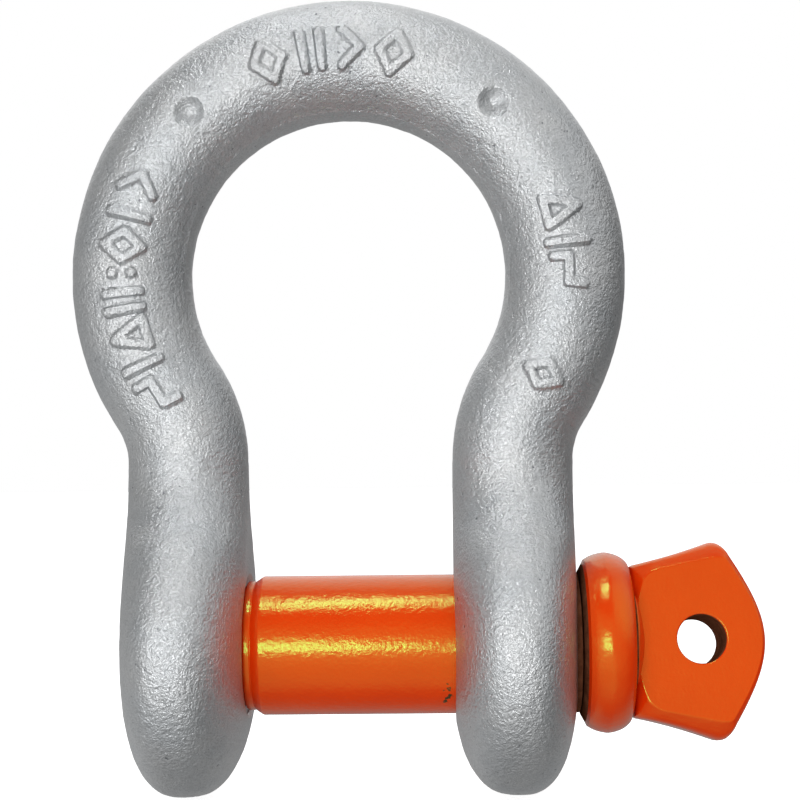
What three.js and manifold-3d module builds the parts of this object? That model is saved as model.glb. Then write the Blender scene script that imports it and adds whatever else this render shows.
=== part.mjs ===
// A forged bow shackle with a screw pin, in millimetres, +Z up.
// The pin lies along X with its eye at +X, the bow stands up along +Z, and the front faces -Y.
// The origin is on the pin axis, midway between the two ears.
import * as THREE from 'three';
import { mergeVertices } from 'three/addons/utils/BufferGeometryUtils.js';
import Module from 'manifold-3d';

const wasm = await Module();
wasm.setup();

// ---------- driving dimensions ----------

// bow: a round bar bent to a circle, turned back at each end into a vertical leg
const STOCK_RADIUS = 11.15;
const BOW_INNER_RADIUS = 29.2;
const INSIDE_LENGTH = 84.9;       // pin surface to the inside of the crown
const LEG_CENTRE_X = 30.1;
const BEND_RADIUS = 22.4;         // centreline of the reverse bend between bow and leg

// ears: flattened discs at the ends of the legs, one tapped and one plain
const EAR_RADIUS = 27.4;
const EAR_CENTRE_X = 30.4;
const EAR_OUTER_HALF = 11;        // centre of the ear to its outer face
const EAR_INNER_HALF = 12.3;      // centre of the ear to where its inner face would round over
const EAR_ROUNDNESS = 2.55;       // superellipse exponent: 2 is an ellipse
const EAR_FILLET = 15;            // concave blend from the ear up into the leg
const JAW_HALF = 18.9;            // the inner faces are flat at this distance

// screw pin
const PIN_RADIUS = 12.7;
const PIN_END_X = -37.7;
const THREAD_END_X = -20;
const THREAD_PITCH = 3.175;
const THREAD_CREST_RADIUS = 12.45;
const THREAD_ROOT_RADIUS = 10.5;
const THREAD_CREST_HALF = THREAD_PITCH / 16;
const FLANK_SLOPE = Math.tan(Math.PI / 6);
const LAND_RADIUS = 11.8;         // plain land between the thread and the shank
const LAND_START_X = -19;
const LAND_END_X = -17.7;
const SHANK_START_X = -16.2;

// threads and bores: the room they keep around the pin
const THREAD_ROOM = 0.3;
const FLANK_ROOM = 0.23;
const PLAIN_BORE_RADIUS = 13.5;
const COUNTERSINK_RADIUS = 13.2;
const BORE_CHAMFER = 0.9;

// collar: a ring around the pin's neck
const COLLAR_START_X = 41.9;
const COLLAR_END_X = 51;
const COLLAR_RADIUS = 16.5;
const NECK_RADIUS = 9.7;
const RUNNING_GAP = 0.3;

// eye: a paddle with two flat faces, bevelled edges and one cross hole
const EYE_THICKNESS = 12.7;
const EYE_ROOT_HALF = 13.8;
const EYE_NECK_X = 57;            // the long edges curve in towards this point beside the root
const EYE_NECK_HALF = 14.6;
const EYE_WIDEST_HALF = 18.1;
const EYE_WIDEST_X = 66.8;
const EYE_CORNER_X = 69.2;        // where the blunt corner ends and the nose begins
const EYE_CORNER_HALF = 15.3;
const EYE_NOSE_X = 72.7;          // the nose curves towards this point on its way to the tip
const EYE_NOSE_HALF = 9.4;
const EYE_TIP_X = 74.95;
const EYE_FLAT_X = 52.1;          // where the flat faces run out at the root
const EYE_FLAT_INSET = 3.4;       // silhouette to flat face along the two long edges
const EYE_NOSE_INSET = 0.7;
const EDGE_DROP = 1.25;           // how far the bevelled edge falls for each millimetre it reaches in
const EDGE_THINNEST = 0.6;
const EDGE_DEEPEST = 5.6;
const EYE_HOLE_RADIUS = 4.4;
const EYE_HOLE_X = 63.5;
const EYE_HOLE_FLARE = 1.3;
const EYE_TILT_DEGREES = 10;

// facets
const RING_SIDES = 28;
const THREAD_SIDES = 28;
const ROUND_SIDES = 40;
const EYE_SIDES = 56;
const HOLE_SIDES = 28;

// ---------- solids ----------

// A closed three.js geometry as a solid that can be cut and joined.
function toSolid(geometry) {
  const bare = geometry.clone();
  for (const name of Object.keys(bare.attributes)) {
    if (name !== 'position') bare.deleteAttribute(name);
  }
  const merged = mergeVertices(bare, 1e-3);
  const index = merged.index.array;
  const corners = [];
  for (let i = 0; i < index.length; i += 3) {
    const [a, b, c] = [index[i], index[i + 1], index[i + 2]];
    if (a !== b && b !== c && c !== a) corners.push(a, b, c);
  }
  return new wasm.Manifold(new wasm.Mesh({
    numProp: 3,
    vertProperties: new Float32Array(merged.attributes.position.array),
    triVerts: new Uint32Array(corners),
  }));
}

function toGeometry(body) {
  const { vertProperties, triVerts } = body.getMesh();
  const geometry = new THREE.BufferGeometry();
  geometry.setAttribute('position', new THREE.BufferAttribute(new Float32Array(vertProperties), 3));
  geometry.setIndex(new THREE.BufferAttribute(new Uint32Array(triVerts), 1));
  geometry.computeVertexNormals();
  return geometry;
}

// A body of revolution about the X axis, from [x, radius] pairs.
function turned(profile, sides = ROUND_SIDES) {
  const points = profile.map(([x, radius]) => new THREE.Vector2(radius, x));
  const geometry = new THREE.LatheGeometry(points, sides);
  geometry.rotateZ(-Math.PI / 2);
  return geometry;
}

// A closed skin over rings of points, with a point at each end.
function skin(startPoint, rings, endPoint) {
  const sides = rings[0].length;
  const points = [startPoint, ...rings.flat(), endPoint];
  const last = points.length - 1;
  const at = (ring, side) => 1 + ring * sides + (side % sides);
  const faces = [];
  for (let side = 0; side < sides; side += 1) {
    faces.push(0, at(0, side), at(0, side + 1));
    for (let ring = 0; ring + 1 < rings.length; ring += 1) {
      faces.push(at(ring, side), at(ring + 1, side), at(ring + 1, side + 1));
      faces.push(at(ring, side), at(ring + 1, side + 1), at(ring, side + 1));
    }
    faces.push(last, at(rings.length - 1, side + 1), at(rings.length - 1, side));
  }
  return meshOf(points, faces);
}

function meshOf(points, faces) {
  const geometry = new THREE.BufferGeometry();
  geometry.setAttribute('position', new THREE.Float32BufferAttribute(points.flat(), 3));
  geometry.setIndex(faces);
  return geometry;
}

// ---------- bow ----------

const BOW_RADIUS = BOW_INNER_RADIUS + STOCK_RADIUS;
const BOW_CENTRE_Z = PIN_RADIUS + INSIDE_LENGTH - BOW_INNER_RADIUS;
const BEND_CENTRE_X = LEG_CENTRE_X + BEND_RADIUS;
const BEND_CENTRE_Z = BOW_CENTRE_Z - Math.sqrt((BOW_RADIUS + BEND_RADIUS) ** 2 - BEND_CENTRE_X ** 2);
const BOW_SWEEP = Math.PI / 2 + Math.acos(BEND_CENTRE_X / (BOW_RADIUS + BEND_RADIUS));
const FILLET_CENTRE_Y = STOCK_RADIUS + EAR_FILLET;
const FILLET_CENTRE_Z = Math.sqrt((EAR_RADIUS + EAR_FILLET) ** 2 - FILLET_CENTRE_Y ** 2);
const FILLET_START_Z = FILLET_CENTRE_Z * EAR_RADIUS / (EAR_RADIUS + EAR_FILLET);

// The section of the bow and its bends.
const ROUND_BAR = {
  outer: STOCK_RADIUS, inner: STOCK_RADIUS, side: STOCK_RADIUS, roundness: 2, limit: -Infinity,
};

// Half the width of leg and ear along Y at a height z.
function sideHalf(z) {
  if (z >= FILLET_CENTRE_Z) return STOCK_RADIUS;
  if (z > FILLET_START_Z) return FILLET_CENTRE_Y - Math.sqrt(EAR_FILLET ** 2 - (FILLET_CENTRE_Z - z) ** 2);
  return Math.sqrt(EAR_RADIUS ** 2 - z ** 2);
}

// The section of a leg or an ear at a height z.
function legSection(z) {
  const blend = THREE.MathUtils.smoothstep(z, 0, BEND_CENTRE_Z);
  const fade = z < 0 ? (1 - (-z / EAR_RADIUS) ** EAR_ROUNDNESS) ** (1 / EAR_ROUNDNESS) : 1;
  return {
    centreX: THREE.MathUtils.lerp(EAR_CENTRE_X, LEG_CENTRE_X, blend),
    outer: fade * THREE.MathUtils.lerp(EAR_OUTER_HALF, STOCK_RADIUS, blend),
    inner: fade * THREE.MathUtils.lerp(EAR_INNER_HALF, STOCK_RADIUS, blend),
    side: sideHalf(z),
    roundness: THREE.MathUtils.lerp(EAR_ROUNDNESS, 2, blend),
  };
}

// One ring of points on the right-hand half of the bow, around a place on its centreline.
// The direction `lean` points away from the middle of the bow: 0 is up and a quarter turn is +X.
function ringAround(x, z, lean, section) {
  const ring = [];
  for (let side = 0; side < RING_SIDES; side += 1) {
    const angle = 2 * Math.PI * side / RING_SIDES;
    const power = 2 / section.roundness;
    const across = Math.sign(Math.cos(angle)) * Math.abs(Math.cos(angle)) ** power;
    const along = Math.sign(Math.sin(angle)) * Math.abs(Math.sin(angle)) ** power;
    const reach = across * (across > 0 ? section.outer : section.inner);
    const pointX = x + reach * Math.sin(lean);
    ring.push([Math.max(pointX, section.limit), along * section.side, z + reach * Math.cos(lean)]);
  }
  return ring;
}

// Rings down the right-hand side, from just past the crown to the bottom of the ear.
function rightRings() {
  const rings = [];
  for (const lean of bowLeans()) {
    const x = BOW_RADIUS * Math.sin(lean);
    rings.push(ringAround(x, BOW_CENTRE_Z + BOW_RADIUS * Math.cos(lean), lean, ROUND_BAR));
  }
  const bendSteps = 4;
  for (let step = 1; step < bendSteps; step += 1) {
    const lean = THREE.MathUtils.lerp(BOW_SWEEP, Math.PI / 2, step / bendSteps);
    const x = BEND_CENTRE_X - BEND_RADIUS * Math.sin(lean);
    rings.push(ringAround(x, BEND_CENTRE_Z - BEND_RADIUS * Math.cos(lean), lean, ROUND_BAR));
  }
  for (const z of legHeights()) {
    const section = { ...legSection(z), limit: JAW_HALF };
    rings.push(ringAround(section.centreX, z, Math.PI / 2, section));
  }
  return rings;
}

// Even steps from the crown to where the bow is widest, and on from there to its end.
function bowLeans() {
  const widest = Math.PI / 2;
  const stepsAbove = 10;
  const stepsBelow = 3;
  const leans = [];
  for (let step = 1; step <= stepsAbove; step += 1) leans.push(widest * step / stepsAbove);
  for (let step = 1; step <= stepsBelow; step += 1) {
    leans.push(THREE.MathUtils.lerp(widest, BOW_SWEEP, step / stepsBelow));
  }
  return leans;
}

function legHeights() {
  const heights = [];
  const legSteps = 9;
  for (let step = 0; step < legSteps; step += 1) heights.push(BEND_CENTRE_Z * (1 - step / legSteps));
  for (let degrees = 0; degrees <= 84; degrees += 12) {
    heights.push(-EAR_RADIUS * Math.sin(THREE.MathUtils.degToRad(degrees)));
  }
  return heights;
}

function mirrored(ring) {
  return ring.map(([x, y, z]) => [-x, y, z]);
}

function bowBlank() {
  const right = rightRings();
  const left = right.map(mirrored).reverse();
  const crown = ringAround(0, BOW_CENTRE_Z + BOW_RADIUS, 0, ROUND_BAR);
  const leftEnd = [-EAR_CENTRE_X, 0, -EAR_RADIUS];
  const rightEnd = [EAR_CENTRE_X, 0, -EAR_RADIUS];
  return toSolid(skin(leftEnd, [...left, crown, ...right], rightEnd));
}

// ---------- thread ----------

// A threaded rod along X with its thread in phase with the origin, from before startX to past endX.
// It is a right-hand thread: a turn by the right-hand rule about +X carries it one pitch along +X.
function threadedRod(startX, endX, rootRadius, crestRadius, crestHalf) {
  const flank = (crestRadius - rootRadius) * FLANK_SLOPE;
  const profile = [
    [-crestHalf - flank, rootRadius],
    [-crestHalf, crestRadius],
    [crestHalf, crestRadius],
    [crestHalf + flank, rootRadius],
  ];
  const firstTurn = Math.floor(startX / THREAD_PITCH) - 1;
  const turns = Math.ceil(endX / THREAD_PITCH) + 1 - firstTurn;
  const stops = turns * THREAD_SIDES;
  const points = [];
  for (let stop = 0; stop <= stops; stop += 1) {
    const angle = 2 * Math.PI * stop / THREAD_SIDES;
    const centre = THREAD_PITCH * (firstTurn + stop / THREAD_SIDES);
    for (const [x, radius] of profile) {
      points.push([centre + x, radius * Math.cos(angle), radius * Math.sin(angle)]);
    }
  }
  const at = (stop, corner) => (stop + (corner === 4 ? THREAD_SIDES : 0)) * 4 + corner % 4;
  const faces = [];
  for (let stop = 0; stop < stops; stop += 1) {
    const lastCorner = stop + THREAD_SIDES < stops ? 4 : 3;
    for (let corner = 0; corner < lastCorner; corner += 1) {
      faces.push(at(stop, corner), at(stop + 1, corner), at(stop + 1, corner + 1));
      faces.push(at(stop, corner), at(stop + 1, corner + 1), at(stop, corner + 1));
    }
  }
  const startApex = points.push([THREAD_PITCH * (firstTurn - 1), 0, 0]) - 1;
  const endApex = points.push([THREAD_PITCH * (firstTurn + turns + 1), 0, 0]) - 1;
  closeEnd(faces, startApex, startLoop(at));
  closeEnd(faces, endApex, endLoop(at, stops));
  return toSolid(meshOf(points, faces));
}

// The open edge at the start of the rod: one turn along the first corner, then back down the profile.
function startLoop(at) {
  const loop = [];
  for (let stop = THREAD_SIDES; stop > 0; stop -= 1) loop.push(at(stop, 0));
  for (let corner = 0; corner < 4; corner += 1) loop.push(at(0, corner));
  return loop;
}

// The open edge at the end: one turn along the last corner, then back along the profile.
function endLoop(at, stops) {
  const loop = [];
  for (let stop = stops - THREAD_SIDES; stop < stops; stop += 1) loop.push(at(stop, 3));
  for (let corner = 3; corner >= 0; corner -= 1) loop.push(at(stops, corner));
  return loop;
}

function closeEnd(faces, apex, loop) {
  loop.forEach((point, i) => faces.push(apex, point, loop[(i + 1) % loop.length]));
}

// ---------- bow body ----------

const PAST_EAR_X = EAR_CENTRE_X + EAR_OUTER_HALF + 3;

// The tapped hole through the left ear, with a countersink on the jaw side.
function tappedHole() {
  const rod = threadedRod(
    -PAST_EAR_X, -JAW_HALF + 3,
    THREAD_ROOT_RADIUS + THREAD_ROOM, THREAD_CREST_RADIUS + THREAD_ROOM,
    THREAD_CREST_HALF + FLANK_ROOM - THREAD_ROOM * FLANK_SLOPE,
  );
  const outside = THREAD_CREST_RADIUS + 2 * THREAD_ROOM;
  const trim = turned([
    [-PAST_EAR_X, 0],
    [-PAST_EAR_X, outside],
    [-JAW_HALF + 2, outside],
    [-JAW_HALF + 2, 0],
  ]);
  return toSolid(trim).intersect(rod).add(toSolid(countersink(-JAW_HALF, 1, outside)));
}

// A cone that opens a hole out to the countersink radius at a face; `outward` is +1 or -1 along X.
function countersink(faceX, outward, holeRadius) {
  const depth = COUNTERSINK_RADIUS - holeRadius + 0.6;
  const inside = [faceX - outward * depth, holeRadius - 0.6];
  const outside = [faceX + outward, COUNTERSINK_RADIUS + 1];
  const ends = [[inside[0], 0], inside, outside, [outside[0], 0]];
  return turned(outward > 0 ? ends : ends.reverse());
}

// The plain hole through the right ear, broken at both edges.
function plainHole() {
  const wide = PLAIN_BORE_RADIUS + BORE_CHAMFER + 2;
  const outerFace = EAR_CENTRE_X + EAR_OUTER_HALF;
  return toSolid(turned([
    [JAW_HALF - 2, 0],
    [JAW_HALF - 2, wide],
    [JAW_HALF + BORE_CHAMFER, PLAIN_BORE_RADIUS],
    [outerFace - 2 * BORE_CHAMFER, PLAIN_BORE_RADIUS],
    [outerFace + 2, wide + BORE_CHAMFER],
    [outerFace + 2, 0],
  ]));
}

function bowBody() {
  return toGeometry(bowBlank().subtract(tappedHole()).subtract(plainHole()));
}

// ---------- screw pin ----------

function pinThread() {
  const rod = threadedRod(
    PIN_END_X, THREAD_END_X, THREAD_ROOT_RADIUS, THREAD_CREST_RADIUS, THREAD_CREST_HALF,
  );
  const lead = THREAD_CREST_RADIUS - THREAD_ROOT_RADIUS + 0.3;
  const envelope = turned([
    [PIN_END_X, 0],
    [PIN_END_X, THREAD_CREST_RADIUS - lead],
    [PIN_END_X + lead, THREAD_CREST_RADIUS + 0.1],
    [THREAD_END_X - lead / 2, THREAD_CREST_RADIUS + 0.1],
    [THREAD_END_X + lead / 2, THREAD_ROOT_RADIUS - 0.2],
    [THREAD_END_X + lead / 2, 0],
  ]);
  return rod.intersect(toSolid(envelope));
}

function pinShank() {
  const shoulderX = COLLAR_START_X - RUNNING_GAP;
  const core = THREAD_ROOT_RADIUS - 0.3;
  return toSolid(turned([
    [THREAD_END_X - 1, 0],
    [THREAD_END_X - 1, core],
    [THREAD_END_X, core],
    [LAND_START_X, LAND_RADIUS],
    [LAND_END_X, LAND_RADIUS],
    [SHANK_START_X, PIN_RADIUS],
    [shoulderX, PIN_RADIUS],
    [shoulderX, NECK_RADIUS],
    [COLLAR_END_X + 1, NECK_RADIUS],
    [COLLAR_END_X + 3, 4],
    [COLLAR_END_X + 3, 0],
  ]));
}

// A closed outline in X and Z from its lower half, drawn from the root to the tip.
function mirroredOutline(lower) {
  const points = lower.getPoints(8);
  const upper = points.slice(1, -1).reverse().map((point) => new THREE.Vector2(point.x, -point.y));
  return [...points, ...upper];
}

// The silhouette: a tapered root, blunt corners and a nose that comes nearly to a point.
function eyeOutline() {
  const rootX = COLLAR_END_X + RUNNING_GAP;
  const lower = new THREE.Path();
  lower.moveTo(rootX, 0);
  lower.lineTo(rootX, -EYE_ROOT_HALF);
  lower.quadraticCurveTo(EYE_NECK_X, -EYE_NECK_HALF, EYE_WIDEST_X - 1.2, -EYE_WIDEST_HALF + 0.3);
  lower.bezierCurveTo(
    EYE_WIDEST_X + 0.6, -EYE_WIDEST_HALF - 0.3,
    EYE_CORNER_X - 0.8, -EYE_CORNER_HALF - 1.8,
    EYE_CORNER_X, -EYE_CORNER_HALF,
  );
  lower.bezierCurveTo(EYE_NOSE_X, -EYE_NOSE_HALF, EYE_TIP_X, -EYE_NOSE_HALF / 2, EYE_TIP_X, 0);
  return mirroredOutline(lower);
}

// The outline of the flat faces: round where they run out at the root, and narrower than the silhouette.
function eyeFlat() {
  const widest = EYE_WIDEST_HALF - EYE_FLAT_INSET;
  const shoulderX = EYE_FLAT_X + 4.3;
  const shoulder = EYE_ROOT_HALF - 1.2;
  const cornerX = EYE_CORNER_X - EYE_NOSE_INSET;
  const cornerHalf = EYE_CORNER_HALF - 1;
  const tipX = EYE_TIP_X - EYE_NOSE_INSET;
  const lower = new THREE.Path();
  lower.moveTo(EYE_FLAT_X, 0);
  lower.bezierCurveTo(
    EYE_FLAT_X, -0.7 * shoulder,
    EYE_FLAT_X + 1.2, -0.92 * shoulder,
    shoulderX, -shoulder,
  );
  lower.lineTo(EYE_WIDEST_X - 0.6, -widest + 0.3);
  lower.quadraticCurveTo(EYE_WIDEST_X + 1.5, -widest, cornerX, -cornerHalf);
  lower.bezierCurveTo(
    EYE_NOSE_X - EYE_NOSE_INSET, -EYE_NOSE_HALF + EYE_NOSE_INSET,
    tipX, -EYE_NOSE_HALF / 2, tipX, 0,
  );
  return mirroredOutline(lower);
}

// The points where rays from the middle of the hole, at even angles, meet an outline.
function metByRays(outline) {
  const centre = new THREE.Vector2(EYE_HOLE_X, 0);
  const met = [];
  for (let side = 0; side < EYE_SIDES; side += 1) {
    const angle = 2 * Math.PI * side / EYE_SIDES;
    const ray = new THREE.Vector2(Math.cos(angle), Math.sin(angle));
    outline.forEach((start, i) => {
      const edge = outline[(i + 1) % outline.length].clone().sub(start);
      const toStart = start.clone().sub(centre);
      const turn = ray.cross(edge);
      const share = toStart.cross(ray) / turn;
      const reach = toStart.cross(edge) / turn;
      if (reach > 0 && share >= 0 && share < 1) met[side] = centre.clone().addScaledVector(ray, reach);
    });
  }
  return met;
}

// The edge from the flat face [0, 0] to the silhouette [1, 1]: a bevel that grows steeper.
const EDGE_STEPS = [[0, 0], [0.38, 0.2], [0.74, 0.53], [1, 1]];

function eyePaddle() {
  const outline = metByRays(eyeOutline());
  const flat = metByRays(eyeFlat());
  const half = EYE_THICKNESS / 2;
  const rings = [];
  for (const face of [-1, 1]) {
    const steps = face < 0 ? EDGE_STEPS : [...EDGE_STEPS].reverse();
    for (const [across, down] of steps) {
      rings.push(outline.map((point, i) => {
        const depth = THREE.MathUtils.clamp(
          EDGE_DROP * point.distanceTo(flat[i]), EDGE_THINNEST, EDGE_DEEPEST,
        );
        const place = flat[i].clone().lerp(point, across);
        return [place.x, face * (half - depth * down), place.y];
      }));
    }
  }
  return toSolid(skin([EYE_HOLE_X, -half, 0], rings, [EYE_HOLE_X, half, 0]));
}

function eyeHole() {
  const reach = EYE_THICKNESS / 2 + 1;
  const mouth = EYE_HOLE_RADIUS + EYE_HOLE_FLARE;
  const straight = reach - EYE_HOLE_FLARE - 0.5;
  const profile = [
    [-reach, 0], [-reach, mouth], [-straight, EYE_HOLE_RADIUS],
    [straight, EYE_HOLE_RADIUS], [reach, mouth], [reach, 0],
  ];
  const hole = turned(profile, HOLE_SIDES);
  hole.rotateZ(Math.PI / 2);
  hole.translate(EYE_HOLE_X, 0, 0);
  return toSolid(hole);
}

function screwPin() {
  const eye = eyePaddle().subtract(eyeHole()).rotate([-EYE_TILT_DEGREES, 0, 0]);
  return toGeometry(pinThread().add(pinShank()).add(eye));
}

// ---------- collar ----------

// A rounded ring: an edged face towards the ear, its crest near the middle, rounded off at the eye.
function pinCollar() {
  const bore = NECK_RADIUS + RUNNING_GAP;
  const start = COLLAR_START_X;
  const end = COLLAR_END_X;
  const profile = [
    [start, bore],
    [start, COLLAR_RADIUS - 3.2],
    [start + 1, COLLAR_RADIUS - 1.3],
    [start + 1.9, COLLAR_RADIUS - 0.75],
    [start + 3, COLLAR_RADIUS - 0.34],
    [start + 4.7, COLLAR_RADIUS],
    [start + 6, COLLAR_RADIUS - 0.24],
    [start + 7.1, COLLAR_RADIUS - 0.6],
    [end - 1, COLLAR_RADIUS - 1.2],
    [end - 0.35, COLLAR_RADIUS - 1.9],
    [end, COLLAR_RADIUS - 2.9],
    [end, bore],
    [start, bore],
  ];
  return toGeometry(toSolid(turned(profile)));
}

// ---------- assembly ----------

const galvanised = new THREE.MeshStandardMaterial({ color: 0x9fa2a6, metalness: 0.85, roughness: 0.45 });
const enamel = new THREE.MeshStandardMaterial({ color: 0xde5212, metalness: 0, roughness: 0.25 });

function piece(name, geometry, material) {
  const mesh = new THREE.Mesh(geometry, material);
  mesh.name = name;
  return mesh;
}

const shackle = new THREE.Group();
shackle.add(
  piece('bow_body', bowBody(), galvanised),
  piece('pin_collar', pinCollar(), enamel),
  piece('screw_pin', screwPin(), enamel),
);

export default shackle;
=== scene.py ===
import math

import bmesh
import bpy
import numpy as np
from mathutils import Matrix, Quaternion, Vector, noise


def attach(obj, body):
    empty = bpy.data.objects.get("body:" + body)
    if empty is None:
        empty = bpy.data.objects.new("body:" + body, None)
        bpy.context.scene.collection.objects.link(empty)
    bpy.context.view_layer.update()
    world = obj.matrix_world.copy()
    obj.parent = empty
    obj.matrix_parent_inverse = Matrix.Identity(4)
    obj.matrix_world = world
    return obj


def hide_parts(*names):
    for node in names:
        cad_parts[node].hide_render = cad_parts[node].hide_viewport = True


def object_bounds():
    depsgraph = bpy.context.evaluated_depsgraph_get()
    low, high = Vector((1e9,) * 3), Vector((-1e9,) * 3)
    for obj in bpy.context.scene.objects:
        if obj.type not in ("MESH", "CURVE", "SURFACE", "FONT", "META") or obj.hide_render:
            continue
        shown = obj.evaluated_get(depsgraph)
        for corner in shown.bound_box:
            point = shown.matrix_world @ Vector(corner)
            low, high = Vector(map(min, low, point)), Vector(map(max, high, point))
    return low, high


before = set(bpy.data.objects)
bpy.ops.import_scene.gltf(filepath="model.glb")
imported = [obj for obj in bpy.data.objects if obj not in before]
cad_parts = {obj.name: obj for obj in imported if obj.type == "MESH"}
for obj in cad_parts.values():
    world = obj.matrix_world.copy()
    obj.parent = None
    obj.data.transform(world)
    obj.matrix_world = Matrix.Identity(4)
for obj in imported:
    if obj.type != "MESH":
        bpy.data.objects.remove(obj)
CAD_LOW, CAD_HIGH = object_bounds()

# Lengths below are in millimetres, in the frame's axes: the pin along X, the bow up +Z, the front -Y.
MM = 0.001

# ---------- driving dimensions ----------

# bow
STOCK_RADIUS = 11.15
BOW_INNER_RADIUS = 29.2
INSIDE_LENGTH = 84.9
LEG_CENTRE_X = 30.1
BEND_RADIUS = 22.4
EAR_RADIUS = 27.4
EAR_CENTRE_X = 30.4
EAR_OUTER_HALF = 11.0
EAR_INNER_HALF = 12.3
EAR_ROUNDNESS = 2.55
EAR_FILLET = 15.0
JAW_HALF = 18.9

# pin
PIN_RADIUS = 12.7
PIN_END_X = -37.7
THREAD_END_X = -20.0
THREAD_PITCH = 3.175
THREAD_CREST_RADIUS = 12.45
THREAD_ROOT_RADIUS = 10.5
THREAD_CREST_HALF = THREAD_PITCH / 16
FLANK_SLOPE = math.tan(math.radians(30))
LAND_RADIUS = 11.8
LAND_START_X = -19.0
LAND_END_X = -17.7
SHANK_START_X = -16.2
THREAD_ROOM = 0.3
FLANK_ROOM = 0.23
PLAIN_BORE_RADIUS = 13.5
COUNTERSINK_RADIUS = 13.2

# collar
COLLAR_START_X = 41.9
COLLAR_END_X = 51.0
COLLAR_RADIUS = 16.5
NECK_RADIUS = 9.7
RUNNING_GAP = 0.3

# eye
EYE_THICKNESS = 12.7
EYE_ROOT_HALF = 13.8
EYE_NECK_X = 57.0            # the long edges curve in towards this point beside the root
EYE_NECK_HALF = 14.6
EYE_WIDEST_HALF = 18.1
EYE_WIDEST_X = 66.8
EYE_CORNER_X = 69.2          # where the blunt corner ends and the nose begins
EYE_CORNER_HALF = 15.3
EYE_NOSE_X = 72.7            # the nose curves towards this point on its way to the tip
EYE_NOSE_HALF = 9.4
EYE_TIP_X = 74.95
EYE_FLAT_X = 52.1            # where the flat faces run out at the root
EYE_FLAT_INSET = 3.4         # silhouette to flat face along the two long edges
EYE_NOSE_INSET = 0.7
EDGE_DROP = 1.25             # how far the bevelled edge falls for each millimetre it reaches in
EDGE_THINNEST = 0.6
EDGE_DEEPEST = 5.6
EYE_HOLE_RADIUS = 4.4
EYE_HOLE_X = 63.5
EYE_TILT = math.radians(10)

# worked out
BOW_RADIUS = BOW_INNER_RADIUS + STOCK_RADIUS
BOW_CENTRE_Z = PIN_RADIUS + INSIDE_LENGTH - BOW_INNER_RADIUS
BEND_CENTRE_X = LEG_CENTRE_X + BEND_RADIUS
BEND_CENTRE_Z = BOW_CENTRE_Z - math.sqrt((BOW_RADIUS + BEND_RADIUS) ** 2 - BEND_CENTRE_X ** 2)
BOW_SWEEP = math.pi / 2 + math.acos(BEND_CENTRE_X / (BOW_RADIUS + BEND_RADIUS))
FILLET_CENTRE_Y = STOCK_RADIUS + EAR_FILLET
FILLET_CENTRE_Z = math.sqrt((EAR_RADIUS + EAR_FILLET) ** 2 - FILLET_CENTRE_Y ** 2)
FILLET_START_Z = FILLET_CENTRE_Z * EAR_RADIUS / (EAR_RADIUS + EAR_FILLET)

# ---------- camera ----------

CAMERA_AT = (17.5, -308.0, 33.0)
CAMERA_LOOKS_AT = (9.4, 0.0, 45.1)
CAMERA_ROLL = math.radians(-0.7)
FIELD_WIDTH = 148.7          # what the frame's width takes in at the object


def make_camera():
    """The camera in front of the object, a little to the right."""
    data = bpy.data.cameras.new("camera")
    camera = bpy.data.objects.new("camera", data)
    bpy.context.scene.collection.objects.link(camera)
    place = Vector(CAMERA_AT) * MM
    aim = Vector(CAMERA_LOOKS_AT) * MM
    data.sensor_width = 36
    data.lens = data.sensor_width * (aim - place).length / (FIELD_WIDTH * MM)
    data.clip_start = 0.01
    data.clip_end = 20
    camera.location = place
    camera.rotation_mode = "QUATERNION"
    upright = (aim - place).to_track_quat("-Z", "Y")
    camera.rotation_quaternion = upright @ Quaternion((0, 0, 1), CAMERA_ROLL)
    bpy.context.scene.camera = camera


make_camera()

# ---------- mesh helpers ----------


def smooth(x, low, high):
    """0 below low, 1 above high and an even curve between."""
    t = np.clip((np.asarray(x, float) - low) / (high - low), 0, 1)
    return t * t * (3 - 2 * t)


def mix(a, b, t):
    """From a to b as t goes from 0 to 1."""
    return a + (b - a) * t


def face_outwards(mesh):
    """Turns a closed mesh the right way out, which cutting and joining depend on."""
    shape = bmesh.new()
    shape.from_mesh(mesh)
    inside_out = shape.calc_volume(signed=True) < 0
    shape.free()
    if inside_out:
        mesh.flip_normals()


def make_mesh(name, points, faces):
    """A mesh object from points in millimetres."""
    mesh = bpy.data.meshes.new(name)
    mesh.from_pydata((np.asarray(points, float) * MM).tolist(), [], [list(f) for f in faces])
    mesh.update()
    face_outwards(mesh)
    piece = bpy.data.objects.new(name, mesh)
    bpy.context.scene.collection.objects.link(piece)
    return piece


def skin_faces(rings, sides, closed_ends=True, closed_loop=False):
    """Quads over rings of points, with fans to a first and a last point where the ends are closed."""
    first = 1 if closed_ends else 0
    faces = []
    last_ring = rings if closed_loop else rings - 1
    for ring in range(last_ring):
        here = first + ring * sides
        there = first + ((ring + 1) % rings) * sides
        for side in range(sides):
            after = (side + 1) % sides
            faces.append((here + side, there + side, there + after, here + after))
    if closed_ends:
        end = first + (rings - 1) * sides
        for side in range(sides):
            after = (side + 1) % sides
            faces.append((0, first + side, first + after))
            faces.append((end + sides, end + after, end + side))
    return faces


def turned(name, profile, sides, closed=False):
    """A body of revolution about X from (x, radius) pairs. Open profiles start and end on the axis."""
    angles = np.arange(sides) * 2 * math.pi / sides
    body = profile if closed else profile[1:-1]
    rings = [np.stack([np.full(sides, x), r * np.cos(angles), r * np.sin(angles)], 1) for x, r in body]
    if closed:
        return make_mesh(name, np.concatenate(rings), skin_faces(len(rings), sides, False, True))
    ends = [np.array([[profile[0][0], 0, 0]]), np.array([[profile[-1][0], 0, 0]])]
    points = np.concatenate([ends[0], *rings, ends[1]])
    return make_mesh(name, points, skin_faces(len(rings), sides))


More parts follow.
